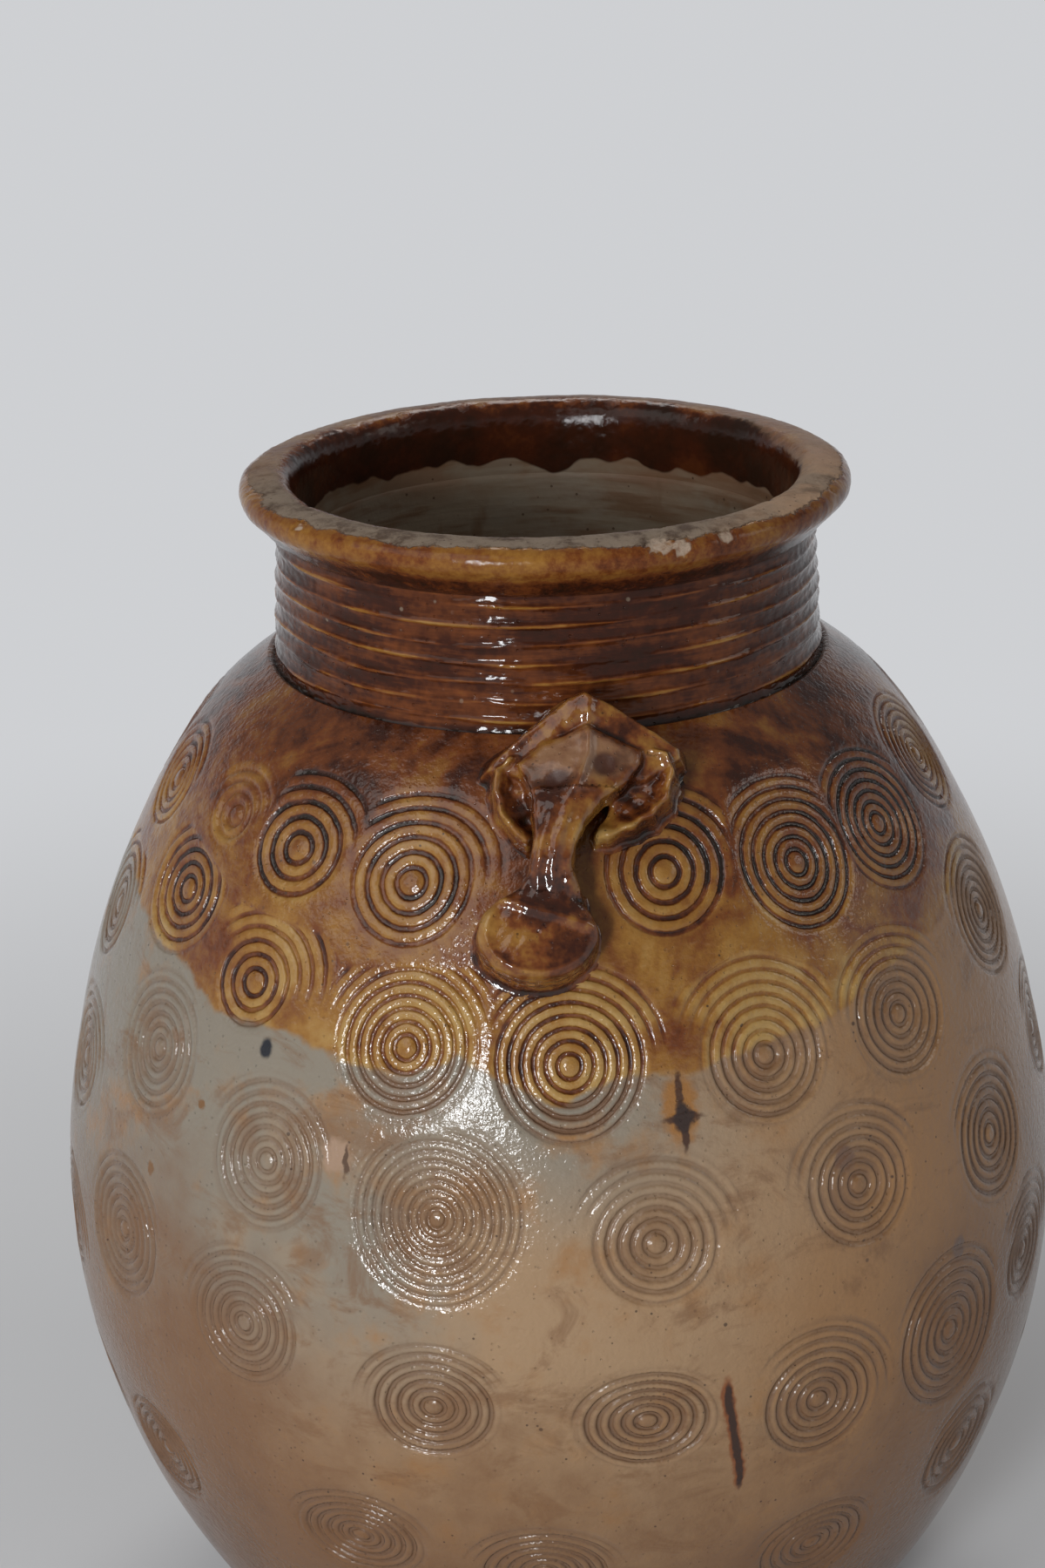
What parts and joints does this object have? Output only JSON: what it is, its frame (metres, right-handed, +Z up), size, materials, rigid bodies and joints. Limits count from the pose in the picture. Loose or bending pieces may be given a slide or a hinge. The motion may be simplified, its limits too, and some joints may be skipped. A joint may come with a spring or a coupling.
{
  "type": "martaban jar",
  "caption": "Stoneware storage jar with a flared rim, ribbed neck, stamped round shoulder and looped lugs for tying down a cover.",
  "frame": {"origin": "centre of the foot, on the surface that the jar stands on", "axes": "+Z up along the jar's axis, -Y towards the front lug, +X to the right seen from the front"},
  "size_m": [0.304, 0.304, 0.3746],
  "materials": {
    "amber_glaze": "glossy amber to brown ash glaze over stamped roundels",
    "pale_glaze": "pale grey-green to buff glaze with fine dark stamped rings",
    "dark_glaze": "dark red-brown glaze with amber crests on the throwing ridges",
    "rim_glaze": "orange-brown glaze worn to grey-buff clay on the rim's top",
    "bare_clay": "unglazed matt stoneware"
  },
  "bodies": {
    "root": {"base_slab": "bare_clay", "lower_wall": "pale_glaze", "belly_wall": "pale_glaze", "shoulder_wall": "amber_glaze", "neck_collar": "dark_glaze", "rim_band": "rim_glaze", "front_lug_head": "amber_glaze", "front_lug_left_ear": "amber_glaze", "front_lug_right_ear": "amber_glaze", "front_lug_trunk": "amber_glaze", "front_lug_button": "amber_glaze", "back_lug_head": "amber_glaze", "back_lug_left_ear": "amber_glaze", "back_lug_right_ear": "amber_glaze", "back_lug_trunk": "amber_glaze", "back_lug_button": "amber_glaze"}
  },
  "joints": []
}
